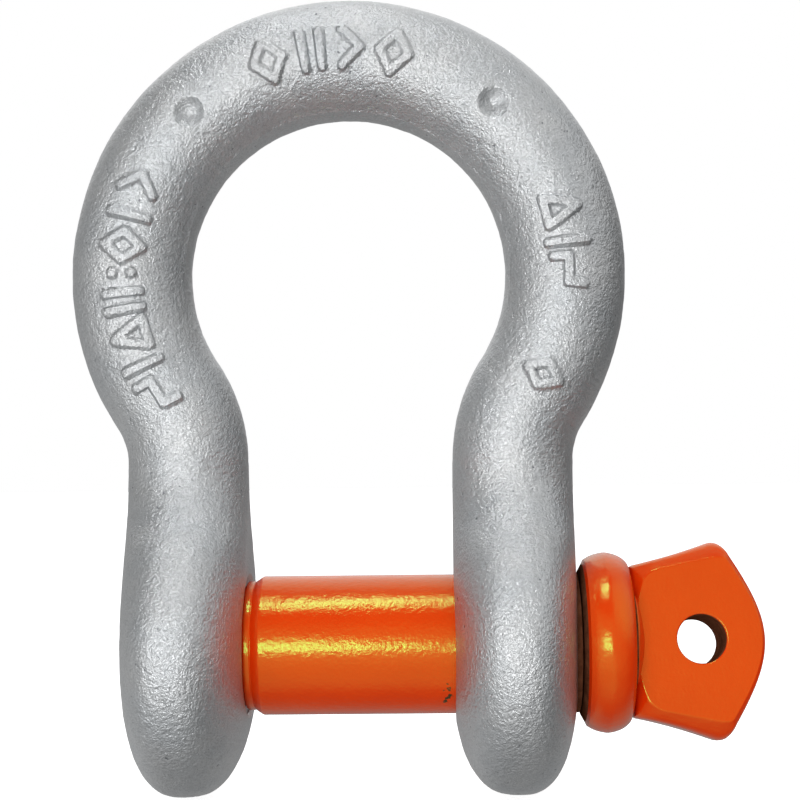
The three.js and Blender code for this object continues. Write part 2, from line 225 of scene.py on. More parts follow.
def rounded(profile, radius, steps=6):
    """The profile with its inner corners rounded off by quadratic curves of about that radius."""
    points = [profile[0]]
    for before, corner, after in zip(profile, profile[1:], profile[2:]):
        corner_v = np.array(corner, float)
        into = np.array(before, float) - corner_v
        out = np.array(after, float) - corner_v
        reach = min(radius, np.linalg.norm(into) * 0.45, np.linalg.norm(out) * 0.45)
        start = corner_v + into / np.linalg.norm(into) * reach
        end = corner_v + out / np.linalg.norm(out) * reach
        for t in np.linspace(0, 1, steps):
            points.append(tuple((1 - t) ** 2 * start + 2 * t * (1 - t) * corner_v + t ** 2 * end))
    points.append(profile[-1])
    return points


def combine(piece, other, how):
    """Cuts, joins or intersects a piece with another one, which is used up."""
    step = piece.modifiers.new(how, "BOOLEAN")
    step.operation = how
    step.solver = "MANIFOLD"
    step.object = other
    bpy.context.view_layer.update()
    shaped = bpy.data.meshes.new_from_object(piece.evaluated_get(bpy.context.evaluated_depsgraph_get()))
    piece.modifiers.clear()
    piece.data = shaped
    bpy.data.objects.remove(other)
    return piece


SHARP_ABOVE = math.radians(32)


def shade(piece):
    """Smooth shading, with sharp edges kept."""
    mesh = piece.data
    mesh.shade_smooth()
    mesh.set_sharp_from_angle(angle=SHARP_ABOVE)


# ---------- bow: centreline and sections ----------

SIDES = 120
BOW_STEP = 0.36              # between stations along the bow, where the raised marks are
LEG_STEP = 0.80
FRONT_DENSITY = 2.2          # how many more points a section has at the front than at the back
FRONT_SPREAD = math.radians(42)
FINE_ANGLES = 2881


def turn_from_front(angles):
    """Angles round a section, counted from its front and between -pi and pi."""
    return (angles + math.pi / 2 + math.pi) % (2 * math.pi) - math.pi


def ring_angles():
    """Angles round a section, closer together at the front, where the raised marks are."""
    fine = np.linspace(0, 2 * math.pi, FINE_ANGLES)
    density = 1 + FRONT_DENSITY * np.exp(-(turn_from_front(fine) / FRONT_SPREAD) ** 2)
    total = np.concatenate([[0], np.cumsum((density[1:] + density[:-1]) / 2)])
    return np.interp(np.arange(SIDES) / SIDES * total[-1], total, fine)


def side_half(z):
    """Half the bow's depth at a height: the round ear, a fillet, then the leg's round stock."""
    round_part = np.sqrt(np.maximum(EAR_RADIUS ** 2 - z ** 2, 0))
    fillet = FILLET_CENTRE_Y - np.sqrt(np.maximum(EAR_FILLET ** 2 - (FILLET_CENTRE_Z - z) ** 2, 0))
    return np.where(z >= FILLET_CENTRE_Z, STOCK_RADIUS, np.where(z > FILLET_START_Z, fillet, round_part))


def right_stations():
    """Stations down the right-hand side: x, z, lean, outer, inner, side, roundness and path length."""
    stations = []
    steps = round(BOW_RADIUS * BOW_SWEEP / BOW_STEP)
    for step in range(1, steps + 1):
        lean = BOW_SWEEP * step / steps
        x = BOW_RADIUS * math.sin(lean)
        z = BOW_CENTRE_Z + BOW_RADIUS * math.cos(lean)
        stations.append((x, z, lean, STOCK_RADIUS, STOCK_RADIUS, STOCK_RADIUS, 2, BOW_RADIUS * lean))
    along = BOW_RADIUS * BOW_SWEEP
    bend = BOW_SWEEP - math.pi / 2
    steps = round(BEND_RADIUS * bend / BOW_STEP)
    for step in range(1, steps):
        turn = bend * step / steps
        lean = BOW_SWEEP - turn
        x = BEND_CENTRE_X - BEND_RADIUS * math.sin(lean)
        z = BEND_CENTRE_Z - BEND_RADIUS * math.cos(lean)
        path = along + BEND_RADIUS * turn
        stations.append((x, z, lean, STOCK_RADIUS, STOCK_RADIUS, STOCK_RADIUS, 2, path))
    along += BEND_RADIUS * bend
    steps = round(BEND_CENTRE_Z / LEG_STEP)
    heights = list(BEND_CENTRE_Z * (1 - np.arange(steps) / steps))
    steps = round(EAR_RADIUS * math.pi / 2 / LEG_STEP)
    heights += list(-EAR_RADIUS * np.sin(np.arange(steps) / steps * math.pi / 2))
    for z in heights:
        blend = float(smooth(z, 0, BEND_CENTRE_Z))
        fade = (1 - max(0.0, -z / EAR_RADIUS) ** EAR_ROUNDNESS) ** (1 / EAR_ROUNDNESS)
        outer = fade * mix(EAR_OUTER_HALF, STOCK_RADIUS, blend)
        inner = fade * mix(EAR_INNER_HALF, STOCK_RADIUS, blend)
        centre = mix(EAR_CENTRE_X, LEG_CENTRE_X, blend)
        roundness = mix(EAR_ROUNDNESS, 2, blend)
        side = float(side_half(z))
        stations.append((centre, z, math.pi / 2, outer, inner, side, roundness, along + BEND_CENTRE_Z - z))
    return np.array(stations)


def bow_surface():
    """Points of the plain bow, with each point's path length and its distance round from the front."""
    angles = ring_angles()
    right = right_stations()
    crown = np.array([[0, BOW_CENTRE_Z + BOW_RADIUS, 0, STOCK_RADIUS, STOCK_RADIUS, STOCK_RADIUS, 2, 0]])
    half = np.concatenate([crown, right])
    x, z, lean, outer, inner, side, roundness, path = [half[:, i:i + 1] for i in range(8)]
    cos, sin = np.cos(angles)[None], np.sin(angles)[None]
    across = np.sign(cos) * np.abs(cos) ** (2 / roundness)
    along = np.sign(sin) * np.abs(sin) ** (2 / roundness)
    reach = across * np.where(across > 0, outer, inner)
    px = x + reach * np.sin(lean)
    on_leg = lean == math.pi / 2
    px = np.where(on_leg, np.maximum(px, JAW_HALF), px)
    rings = np.stack([px, along * side, z + reach * np.cos(lean)], 2)
    around = np.broadcast_to(turn_from_front(angles) * STOCK_RADIUS, px.shape)
    paths = np.broadcast_to(path, px.shape)
    left = rings[1:][::-1] * np.array([-1, 1, 1])
    rings = np.concatenate([left, rings])
    around = np.concatenate([around[1:][::-1], around])
    paths = np.concatenate([-paths[1:][::-1], paths])
    low_left = np.array([[-EAR_CENTRE_X, 0, -EAR_RADIUS]])
    low_right = np.array([[EAR_CENTRE_X, 0, -EAR_RADIUS]])
    points = np.concatenate([low_left, rings.reshape(-1, 3), low_right])
    end = paths.max()
    paths = np.concatenate([[-end], paths.ravel(), [end]])
    around = np.concatenate([[0], around.ravel(), [0]])
    return points, paths, around, len(rings)


# ---------- bow: raised marks, dimples and parting line ----------

# Each mark is drawn with strokes in a square from -1 to 1: x along the bow, y away from its middle.
BAR = [((0, -1), (0, 1))]
TWO_BARS = [((-0.45, -0.9), (-0.45, 0.9)), ((0.45, -0.9), (0.45, 0.9))]
DIAMOND = [((0, -1), (0.75, 0)), ((0.75, 0), (0, 1)), ((0, 1), (-0.75, 0)), ((-0.75, 0), (0, -1))]
CHEVRON = [((-0.5, -0.9), (0.4, 0)), ((0.4, 0), (-0.5, 0.9))]
TWO_DOTS = [((0, -0.55), (0, -0.5)), ((0, 0.5), (0, 0.55))]
TRIANGLE = [((-0.8, -0.8), (0.8, -0.8)), ((0.8, -0.8), (0, 0.9)), ((0, 0.9), (-0.8, -0.8))]
STEPS = [((-0.7, -0.8), (-0.7, 0)), ((-0.7, 0), (0.7, 0)), ((0.7, 0), (0.7, 0.8))]

MARK_HALF = 3.6
STROKE_HALF = 0.6
STROKE_EDGE = 0.55
STROKE_HEIGHT = 0.75
# (degrees round the bow from the crown, strokes, half size as a share of MARK_HALF)
MARKS = [
    (-19.5, DIAMOND, 1.0), (-8.0, TWO_BARS, 1.0), (2.5, CHEVRON, 1.0), (13.4, DIAMOND, 1.0),
    (-66.0, CHEVRON, 0.95), (-75.0, BAR, 0.95), (-83.0, DIAMOND, 0.95), (-90.2, TWO_DOTS, 0.9),
    (-97.4, TWO_BARS, 0.95), (-106.6, TRIANGLE, 0.95), (-114.8, BAR, 0.9), (-122.6, STEPS, 0.95),
    (75.1, TRIANGLE, 0.95), (83.6, BAR, 0.95), (90.8, STEPS, 0.95), (118.6, DIAMOND, 0.85),
]
DIMPLES = [-43.9, 42.4]
DIMPLE_RADIUS = 2.9
DIMPLE_DEPTH = 1.7
MARK_REACH = 6.0             # no stroke comes this far from its mark's middle
FAR_AWAY = 9.0


def stroke_distance(u, v, start, end):
    """Distance of the points (u, v) from a straight stroke."""
    ax, ay = start
    dx, dy = end[0] - ax, end[1] - ay
    t = np.clip(((u - ax) * dx + (v - ay) * dy) / (dx * dx + dy * dy), 0, 1)
    return np.hypot(u - ax - t * dx, v - ay - t * dy)


def marks_height(path, around):
    """How far the raised marks stand out, and how far the dimples sink in (negative)."""
    height = np.zeros(len(path))
    for degrees, strokes, size in MARKS:
        u = path - BOW_RADIUS * math.radians(degrees)
        near = (np.abs(u) < MARK_REACH) & (np.abs(around) < MARK_REACH)
        scale = MARK_HALF * size
        distance = np.full(near.sum(), FAR_AWAY)
        for start, end in strokes:
            a = (start[0] * scale, start[1] * scale)
            b = (end[0] * scale, end[1] * scale)
            distance = np.minimum(distance, stroke_distance(u[near], around[near], a, b))
        raised = STROKE_HEIGHT * (1 - smooth(distance, STROKE_HALF, STROKE_HALF + STROKE_EDGE))
        height[near] = np.maximum(height[near], raised)
    for degrees in DIMPLES:
        u = path - BOW_RADIUS * math.radians(degrees)
        share = np.hypot(u, around) / DIMPLE_RADIUS
        height -= DIMPLE_DEPTH * np.clip(1 - share ** 2, 0, 1)
    return height


PARTING_ANGLE = math.radians(68)   # round from the front, towards the inside of the bow
PARTING_HEIGHT = 0.28
PARTING_HALF = 0.4
PARTING_FADE = (1.4, 2.0)          # where it fades out, as turns of the bow's radius from the crown


def parting_height(path, around):
    """A low trimmed seam along the inside of the bow, fading out down the legs."""
    inside = around + STOCK_RADIUS * PARTING_ANGLE
    upper = 1 - smooth(np.abs(path), *(BOW_RADIUS * share for share in PARTING_FADE))
    return PARTING_HEIGHT * np.exp(-(inside / PARTING_HALF) ** 2) * upper


LUMPS = [(9.0, 0.10), (2.6, 0.05), (1.1, 0.04)]   # (size, height)
LUMPS_SUNK = 0.06
JAW_FADE = (0.02, 0.8)       # how far behind the flat jaw faces the unevenness starts and is full


def lumps(points):
    """The slight unevenness of a forging, sunk so that few lumps stand above the true surface."""
    out = np.full(len(points), -LUMPS_SUNK)
    for size, height in LUMPS:
        out += [height * noise.noise(Vector(point) / size) for point in points.tolist()]
    return out


def make_bow():
    """The bow with its raised and sunk details, its plain hole and its tapped hole."""
    points, path, around, rings = bow_surface()
    bow = make_mesh("bow", points, skin_faces(rings, SIDES))
    normals = np.empty(len(points) * 3)
    bow.data.vertex_normals.foreach_get("vector", normals)
    normals = normals.reshape(-1, 3)
    off_jaw = smooth(np.abs(points[:, 0]) - JAW_HALF, *JAW_FADE)
    on_leg = points[:, 2] < BEND_CENTRE_Z
    keep = np.where(on_leg, off_jaw, 1)
    height = (marks_height(path, around) + parting_height(path, around) + lumps(points)) * keep
    points = points + normals * height[:, None]
    points = np.clip(points, np.array(CAD_LOW) / MM, np.array(CAD_HIGH) / MM)
    bow.data.vertices.foreach_set("co", (points * MM).ravel())
    bow.data.update()
    combine(bow, plain_hole(), "DIFFERENCE")
    combine(bow, tapped_hole(), "DIFFERENCE")
    shade(bow)
    return bow


# ---------- threads and bores ----------

THREAD_SIDES = 72
THREAD_ROUNDING = 0.28
TURNED_SIDES = 160


def thread_profile(root, crest, crest_half):
    """One pitch of the thread as (x, radius) pairs, without its last point."""
    flank = (crest - root) * FLANK_SLOPE
    corners = [
        (-THREAD_PITCH / 2, root), (-crest_half - flank, root), (-crest_half, crest),
        (crest_half, crest), (crest_half + flank, root), (THREAD_PITCH / 2, root),
    ]
    points = rounded(corners, THREAD_ROUNDING, 4)
    return [(x + THREAD_PITCH / 2, r) for x, r in points[1:-1]]


def threaded_rod(name, start_x, end_x, root, crest, crest_half):
    """A right-hand threaded rod in phase with the origin, running a turn past both ends."""
    profile = thread_profile(root, crest, crest_half)
    count = len(profile)
    first_turn = math.floor(start_x / THREAD_PITCH) - 2
    turns = math.ceil(end_x / THREAD_PITCH) + 1 - first_turn
    stops = turns * THREAD_SIDES
    points = []
    for stop in range(stops + 1):
        angle = 2 * math.pi * stop / THREAD_SIDES
        base = THREAD_PITCH * (first_turn + stop / THREAD_SIDES - 0.5)
        for x, r in profile:
            points.append((base + x, r * math.cos(angle), r * math.sin(angle)))

    def at(stop, corner):
        """The index of a point; the last corner of a stop is the first corner a turn later."""
        return (stop + (THREAD_SIDES if corner == count else 0)) * count + corner % count

    faces = []
    for stop in range(stops):
        last = count if stop + THREAD_SIDES < stops else count - 1
        for corner in range(last):
            near_edge = (at(stop, corner), at(stop + 1, corner))
            far_edge = (at(stop + 1, corner + 1), at(stop, corner + 1))
            faces.append(near_edge + far_edge)
    points.append((THREAD_PITCH * (first_turn - 1.5), 0, 0))
    points.append((THREAD_PITCH * (first_turn + turns + 1.5), 0, 0))
    start_loop = [at(stop, 0) for stop in range(THREAD_SIDES, 0, -1)] + [at(0, c) for c in range(count)]
    end_loop = [at(stop, count - 1) for stop in range(stops - THREAD_SIDES, stops)]
    end_loop += [at(stops, c) for c in range(count - 1, -1, -1)]
    for apex, loop in ((len(points) - 2, start_loop), (len(points) - 1, end_loop)):
        for i, point in enumerate(loop):
            faces.append((apex, point, loop[(i + 1) % len(loop)]))
    return make_mesh(name, points, faces)


EAR_OUTER_X = EAR_CENTRE_X + EAR_OUTER_HALF
PAST_EAR_X = EAR_OUTER_X + 3
HOLE_FLARE = 3.0             # how far the plain hole's cutter widens just outside the ear
JAW_CHAMFER = 1.0            # depths of the chamfers at the plain hole's two ends
OUTER_CHAMFER = 1.6
MOUTH_DEPTH = 2.4            # depth of the tapped hole's countersink in the jaw
EXIT_DEPTH = 6.4             # the same at the ear's rounded outside, from beyond the ear
TRIM_ROOM = 0.3


def plain_hole():
    """What is cut from the right ear: a round bore, chamfered at both ends."""
    wide = PLAIN_BORE_RADIUS + HOLE_FLARE
    return turned("plain_hole", [
        (JAW_HALF - 2, 0), (JAW_HALF - 2, wide), (JAW_HALF + JAW_CHAMFER, PLAIN_BORE_RADIUS),
        (EAR_OUTER_X - OUTER_CHAMFER, PLAIN_BORE_RADIUS), (EAR_OUTER_X + 2, wide + 0.6),
        (EAR_OUTER_X + 2, 0),
    ], TURNED_SIDES)


def tapped_hole():
    """What is cut from the left ear: a threaded rod with room round it, flared at both ends."""
    root = THREAD_ROOT_RADIUS + THREAD_ROOM
    crest = THREAD_CREST_RADIUS + THREAD_ROOM
    half = THREAD_CREST_HALF + FLANK_ROOM - THREAD_ROOM * FLANK_SLOPE
    rod = threaded_rod("tap", -PAST_EAR_X, -JAW_HALF + 3, root, crest, half)
    outside = crest + TRIM_ROOM
    trim = turned("tap_trim", [
        (-PAST_EAR_X, 0), (-PAST_EAR_X, outside), (-JAW_HALF + 2, outside), (-JAW_HALF + 2, 0),
    ], TURNED_SIDES)
    hole = combine(rod, trim, "INTERSECT")
    mouth = COUNTERSINK_RADIUS
    flare = turned("tap_mouth", [
        (-JAW_HALF - MOUTH_DEPTH, 0), (-JAW_HALF - MOUTH_DEPTH, mouth - MOUTH_DEPTH),
        (-JAW_HALF + 1, mouth + 1), (-JAW_HALF + 1, 0),
    ], TURNED_SIDES)
    combine(hole, flare, "UNION")
    exit_x = -PAST_EAR_X + EXIT_DEPTH
    far = turned("tap_exit", [
        (-PAST_EAR_X, 0), (-PAST_EAR_X, mouth + 4.5), (exit_x, mouth - 1.9), (exit_x, 0),
    ], TURNED_SIDES)
    return combine(hole, far, "UNION")


# ---------- pin ----------


def pin_thread():
    """The threaded end: full at the middle, chamfered at its tip, running out at the land."""
    rod = threaded_rod(
        "thread", PIN_END_X, THREAD_END_X, THREAD_ROOT_RADIUS, THREAD_CREST_RADIUS, THREAD_CREST_HALF
    )
    lead = THREAD_CREST_RADIUS - THREAD_ROOT_RADIUS + TRIM_ROOM
    crest = THREAD_CREST_RADIUS + 0.1
    envelope = turned("thread_envelope", [
        (PIN_END_X, 0), (PIN_END_X, crest - lead), (PIN_END_X + lead, crest),
        (THREAD_END_X - lead / 2, crest), (THREAD_END_X + lead / 2, THREAD_ROOT_RADIUS - 0.2),
        (THREAD_END_X + lead / 2, 0),
    ], TURNED_SIDES)
    return combine(rod, envelope, "INTERSECT")


COLLAR_EDGE = 1.0            # from the ear-side face to the edge of the slanted band beside it
PAINTED_SHADE_DEPTH = 0.6             # how much of that band is dark brown, painted shade for the gap beside the ear
SHADED_SHANK_X = 38.5          # and where the shank turns dark brown, as painted shade in the collar's shadow
GROOVE_HALF = 0.15
GROOVE_DEPTH = 0.18
SHANK_ROUNDING = 0.25


def pin_shank():
    """Land, groove, shank and neck, from inside the thread's end to inside the eye."""
    shoulder = COLLAR_START_X - RUNNING_GAP
    core = THREAD_ROOT_RADIUS - 0.3
    profile = [
        (THREAD_END_X - 1, 0), (THREAD_END_X - 1, core), (THREAD_END_X, core),
        (LAND_START_X, LAND_RADIUS), (LAND_END_X - GROOVE_HALF, LAND_RADIUS),
        (LAND_END_X, LAND_RADIUS - GROOVE_DEPTH), (LAND_END_X + GROOVE_HALF, LAND_RADIUS),
        (SHANK_START_X, PIN_RADIUS),
        # from here to the collar's end the shank is dark brown, painted shade under the collar
        (SHADED_SHANK_X, PIN_RADIUS), (shoulder, PIN_RADIUS), (shoulder, NECK_RADIUS),
        (COLLAR_END_X + 1, NECK_RADIUS), (COLLAR_END_X + 3, 4), (COLLAR_END_X + 3, 0),
    ]
    return turned("shank", rounded(profile, SHANK_ROUNDING, 4), TURNED_SIDES)


EYE_SIDES = 224
HOLE_LIP = 0.35              # rounding of the eye's hole at both faces
BEVEL_ANGLE = math.radians(35)
EDGE_STEEPEST = math.radians(82)


def quadratic(a, b, c, steps):
    """Points of a curve from a to c that bends towards b."""
    t = np.linspace(0, 1, steps)[:, None]
    return (1 - t) ** 2 * np.array(a) + 2 * t * (1 - t) * np.array(b) + t ** 2 * np.array(c)


def cubic(a, b, c, d, steps):
    """Points of a curve from a to d that bends towards b and then c."""
    t = np.linspace(0, 1, steps)[:, None]
    near = (1 - t) ** 3 * np.array(a) + 3 * t * (1 - t) ** 2 * np.array(b)
    return near + 3 * t ** 2 * (1 - t) * np.array(c) + t ** 3 * np.array(d)


def mirrored_outline(lower):
    """A closed outline in X and Z from its lower half, given from the root to the tip."""
    lower = np.array(lower)
    upper = lower[1:-1][::-1] * np.array([1, -1])
    return np.concatenate([lower, upper])


def eye_outline():
    """The paddle's silhouette: a tapered root, blunt corners and a nose that comes nearly to a point."""
    root = (COLLAR_END_X + RUNNING_GAP, -EYE_ROOT_HALF)
    widest = (EYE_WIDEST_X - 1.2, -EYE_WIDEST_HALF + 0.3)
    corner = (EYE_CORNER_X, -EYE_CORNER_HALF)
    past_widest = (EYE_WIDEST_X + 0.6, -EYE_WIDEST_HALF - 0.3)
    before_corner = (EYE_CORNER_X - 0.8, -EYE_CORNER_HALF - 1.8)
    nose = (EYE_NOSE_X, -EYE_NOSE_HALF)
    return mirrored_outline([
        (root[0], 0),
        *quadratic(root, (EYE_NECK_X, -EYE_NECK_HALF), widest, 12),
        *cubic(widest, past_widest, before_corner, corner, 13)[1:],
        *cubic(corner, nose, (EYE_TIP_X, -EYE_NOSE_HALF / 2), (EYE_TIP_X, 0), 20)[1:],
    ])


def eye_flat():
    """The outline of the flat faces: round where they run out at the root, inside the silhouette."""
    root = (EYE_FLAT_X, 0)
    half = EYE_ROOT_HALF - 1.2
    shoulder = (EYE_FLAT_X + 4.3, -half)
    widest_half = EYE_WIDEST_HALF - EYE_FLAT_INSET
    widest = (EYE_WIDEST_X - 0.6, -widest_half + 0.3)
    corner = (EYE_CORNER_X - EYE_NOSE_INSET, -EYE_CORNER_HALF + 1)
    nose = (EYE_NOSE_X - EYE_NOSE_INSET, -EYE_NOSE_HALF + EYE_NOSE_INSET)
    tip_x = EYE_TIP_X - EYE_NOSE_INSET
    return mirrored_outline([
        *cubic(root, (EYE_FLAT_X, -0.7 * half), (EYE_FLAT_X + 1.2, -0.92 * half), shoulder, 20),
        *quadratic(widest, (EYE_WIDEST_X + 1.5, -widest_half), corner, 7),
        *cubic(corner, nose, (tip_x, -EYE_NOSE_HALF / 2), (tip_x, 0), 20)[1:],
    ])


def resampled(outline):
    """The outline's points where rays from the hole's centre meet it, at even angles."""
    centre = np.array([EYE_HOLE_X, 0])
    closed = np.concatenate([outline, outline[:1]]) - centre
    starts, edges = closed[:-1], np.diff(closed, axis=0)
    found = []
    for side in range(EYE_SIDES):
        angle = 2 * math.pi * side / EYE_SIDES
        ray = np.array([math.cos(angle), math.sin(angle)])
        cross = ray[0] * edges[:, 1] - ray[1] * edges[:, 0]
        cross = np.where(np.abs(cross) < 1e-9, 1e-9, cross)
        reach = (starts[:, 0] * edges[:, 1] - starts[:, 1] * edges[:, 0]) / cross
        share = (starts[:, 0] * ray[1] - starts[:, 1] * ray[0]) / cross
        met = (reach > 0) & (share >= -1e-6) & (share <= 1 + 1e-6)
        found.append(centre + ray * reach[met].max())
    return np.array(found)


def edge_profile():
    """The edge from the flat face (0, 0) to the silhouette (1, 1): a soft crease, a bevel, a round."""
    crease = np.linspace(0, BEVEL_ANGLE, 6)
    bevel = np.linspace(BEVEL_ANGLE, BEVEL_ANGLE + math.radians(4), 6)
    edge = np.linspace(BEVEL_ANGLE + math.radians(8), EDGE_STEEPEST, 9)
    turns = np.concatenate([crease, bevel, edge])
    lengths = np.concatenate([np.full(6, 0.03), np.full(6, 0.11), np.full(9, 0.075)])
    across = np.concatenate([[0], np.cumsum(np.cos(turns) * lengths)])
    down = np.concatenate([[0], np.cumsum(np.sin(turns) * lengths)])
    return list(zip(across / across[-1], down / down[-1]))


def eye_paddle():
    """The paddle as one closed band: out of the hole, over the front, round the edge, over the back."""
    centre = np.array([EYE_HOLE_X, 0])
    outline = resampled(eye_outline())
    flat = resampled(eye_flat())
    rim = (outline - centre) / np.linalg.norm(outline - centre, axis=1)[:, None]
    inset = np.linalg.norm(outline - flat, axis=1)
    depth = np.clip(EDGE_DROP * inset, EDGE_THINNEST, EDGE_DEEPEST)
    half = EYE_THICKNESS / 2
    rings = []

    def add(shape, y):
        """Adds a ring: an outline in X and Z, placed at y."""
        rings.append(np.stack([shape[:, 0], np.broadcast_to(y, len(shape)), shape[:, 1]], 1))

    add(centre + rim * EYE_HOLE_RADIUS, -half + 3 * HOLE_LIP)
    for turn in np.linspace(0, math.pi / 2, 6):
        wider = EYE_HOLE_RADIUS + HOLE_LIP * (1 - math.cos(turn))
        add(centre + rim * wider, -half + HOLE_LIP * (1 - math.sin(turn)))
    inside = centre + rim * (EYE_HOLE_RADIUS + HOLE_LIP)
    for share in (0.03, 0.3, 0.6, 0.85, 0.98):
        add(mix(inside, flat, share), -half)
    for across, down in edge_profile():
        add(mix(flat, outline, across), -half + depth * down)
    rings += [ring * np.array([1, -1, 1]) for ring in reversed(rings)]
    faces = skin_faces(len(rings), EYE_SIDES, False, True)
    paddle = make_mesh("paddle", np.concatenate(rings), faces)
    turn_about_pin(paddle, -EYE_TILT)
    return paddle


def turn_about_pin(piece, angle):
    """Turns a piece's points about the pin's axis."""
    count = len(piece.data.vertices)
    points = np.empty(count * 3)
    piece.data.vertices.foreach_get("co", points)
    points = points.reshape(-1, 3)
    y, z = points[:, 1].copy(), points[:, 2].copy()
    points[:, 1] = y * math.cos(angle) - z * math.sin(angle)
    points[:, 2] = y * math.sin(angle) + z * math.cos(angle)
    piece.data.vertices.foreach_set("co", points.ravel())
    piece.data.update()


COLLAR_SIDES = 200
COLLAR_ROUNDING = 0.9


def make_pin():
    """Thread, shank and eye as one solid."""
    pin = pin_thread()
    combine(pin, pin_shank(), "UNION")
    combine(pin, eye_paddle(), "UNION")
    pin.name = "pin"
    shade(pin)
    return pin


def make_collar():
    """A rounded ring: an edged face towards the ear, its crest near the middle, round at the eye."""
    bore = NECK_RADIUS + RUNNING_GAP
    start, end = COLLAR_START_X, COLLAR_END_X
    outside = [
        (start + COLLAR_EDGE - 0.05, COLLAR_RADIUS - 1.4),
        (start + COLLAR_EDGE, COLLAR_RADIUS - 1.3),
        (start + 1.9, COLLAR_RADIUS - 0.75),
        (start + 3.0, COLLAR_RADIUS - 0.34),
        (start + 4.7, COLLAR_RADIUS),
        (start + 6.0, COLLAR_RADIUS - 0.24),
        (start + 7.1, COLLAR_RADIUS - 0.6),
        (end - 1.0, COLLAR_RADIUS - 1.2),
        (end - 0.3, COLLAR_RADIUS - 1.9),
        (end, COLLAR_RADIUS - 2.9),
    ]
    inner = (start, COLLAR_RADIUS - 3.2)
    # the face inside this point is dark brown, painted shade for the gap beside the ear
    shade_end = (start + PAINTED_SHADE_DEPTH, inner[1] + (outside[0][1] - inner[1]) * PAINTED_SHADE_DEPTH / COLLAR_EDGE)
    profile = [(start, bore), inner, shade_end, *rounded(outside, COLLAR_ROUNDING, 7), (end, bore)]
    collar = turned("collar", profile, COLLAR_SIDES, closed=True)
    shade(collar)
    return collar


# ---------- materials ----------


def new_material(name):
    """A material, its node tree and its shader node."""
    material = bpy.data.materials.new(name)
    material.use_nodes = True
    tree = material.node_tree
    return material, tree, tree.nodes["Principled BSDF"]


def add_node(tree, kind, **values):
    """A node with the values of its named sockets or settings."""
    node = tree.nodes.new(kind)
    for key, value in values.items():
        if hasattr(node, key):
            setattr(node, key, value)
        else:
            node.inputs[key.replace("_", " ")].default_value = value
    return node


def noise_node(tree, place, scale, detail, roughness):
    """A noise with that many waves to the metre."""
    node = add_node(tree, "ShaderNodeTexNoise", Scale=scale, Detail=detail, Roughness=roughness)
    tree.links.new(place, node.inputs["Vector"])
    return node.outputs["Fac"]


def ramp(tree, value, stops):
    """Turns a value into colours by (position, colour) stops."""
    node = tree.nodes.new("ShaderNodeValToRGB")
    ends = node.color_ramp.elements
    ends[0].position, ends[0].color = stops[0][0], (*stops[0][1], 1)
    ends[1].position, ends[1].color = stops[-1][0], (*stops[-1][1], 1)
    for position, colour in stops[1:-1]:
        ends.new(position).color = (*colour, 1)
    tree.links.new(value, node.inputs["Fac"])
    return node.outputs["Color"]


def blend_colour(tree, how, factor, a, b):
    """Mixes or multiplies two colours, each given as a socket or a plain value."""
    node = tree.nodes.new("ShaderNodeMix")
    node.data_type = "RGBA"
    node.blend_type = how
    first, second = node.inputs[6], node.inputs[7]
    for socket, value in ((node.inputs["Factor"], factor), (first, a), (second, b)):
        if isinstance(value, bpy.types.NodeSocket):
            tree.links.new(value, socket)
        else:
            socket.default_value = value
    return node.outputs[2]


def bump(tree, height, strength, distance, after=None):
    """A normal raised by a height, on top of another normal where one is given."""
    node = add_node(tree, "ShaderNodeBump", Strength=strength, Distance=distance)
    tree.links.new(height, node.inputs["Height"])
    if after is not None:
        tree.links.new(after, node.inputs["Normal"])
    return node.outputs["Normal"]


def galvanised():
    """Hot-dip galvanised steel: patchy grey with a fine rough grain and a few dark specks."""
    material, tree, shader = new_material("galvanised")
    place = tree.nodes.new("ShaderNodeTexCoord").outputs["Object"]
    grain = noise_node(tree, place, 2600, 2.0, 0.7)
    coarse = noise_node(tree, place, 1100, 1.0, 0.5)
    patches = noise_node(tree, place, 110, 4.0, 0.6)
    base = ramp(tree, patches, [(0.32, (0.57, 0.59, 0.605)), (0.68, (0.64, 0.65, 0.655))])
    speckle = ramp(tree, grain, [(0.36, (0.84, 0.84, 0.84)), (0.56, (1, 1, 1))])
    pits = ramp(tree, coarse, [(0.20, (0.40, 0.41, 0.43)), (0.27, (1, 1, 1))])
    colour = blend_colour(tree, "MULTIPLY", 1.0, base, speckle)
    tree.links.new(blend_colour(tree, "MULTIPLY", 1.0, colour, pits), shader.inputs["Base Color"])
    shader.inputs["Metallic"].default_value = 0.9
    shader.inputs["Roughness"].default_value = 0.34
    wide = bump(tree, coarse, 1.0, 0.00020)
    tree.links.new(bump(tree, grain, 1.0, 0.00022, wide), shader.inputs["Normal"])
    return material


# (place, radius)
CHIPS = [((17.6, -10.6, -6.6), 1.5), ((17.9, -9.6, -8.6), 1.3), ((17.0, -8.6, -9.6), 0.8)]
CHIP_RAGGED = 2.6            # how much the noise shifts a chip's edge, as a share of its radius
CHIP_FULL = 1.65             # distance plus noise at which a chip is full, and at which it ends
CHIP_END = 1.75


